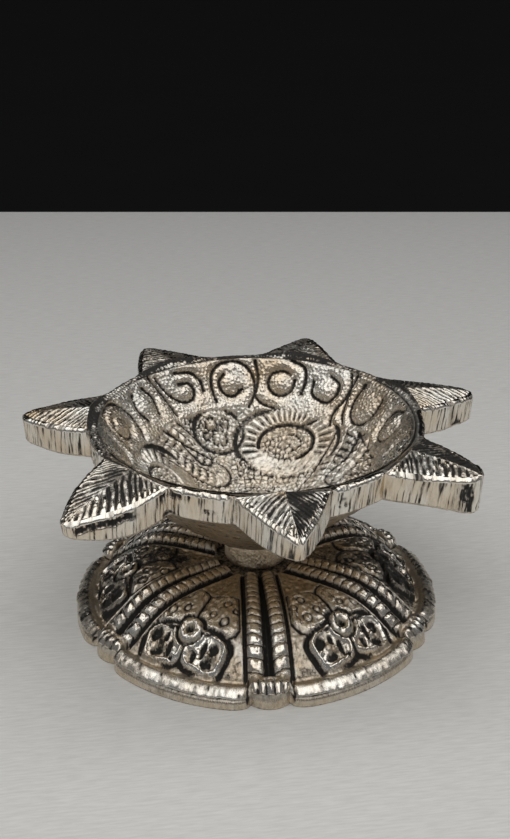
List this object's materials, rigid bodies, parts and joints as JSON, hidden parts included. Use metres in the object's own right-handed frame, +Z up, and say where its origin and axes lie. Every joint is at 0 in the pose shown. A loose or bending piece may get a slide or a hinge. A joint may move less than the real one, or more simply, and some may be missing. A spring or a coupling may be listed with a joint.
{
  "type": "diya oil lamp",
  "caption": "Small cast-metal diya: a petal-edged bowl for oil and a wick, on a short collar and a domed lobed foot with rope ribs.",
  "frame": {"origin": "on the table, under the middle of the diya's bounding box", "axes": "+Z up through the bowl; the first petal points to -Y, the side that faces the viewer"},
  "size_m": [0.0702, 0.0686, 0.033],
  "materials": {
    "bowl_silver": "silver-plated brass, oxidised black in the carving and polished on the edges",
    "foot_silver": "silver-plated brass, heavily oxidised, with worn brassy highs",
    "collar_brass": "grainy hammered brass with thin worn plating",
    "fixing_steel": "dull zinc-plated steel"
  },
  "bodies": {
    "root": {"star_bowl": "bowl_silver", "stem_collar": "collar_brass", "domed_foot": "foot_silver", "washer": "fixing_steel", "fixing_screw": "fixing_steel"}
  },
  "joints": []
}
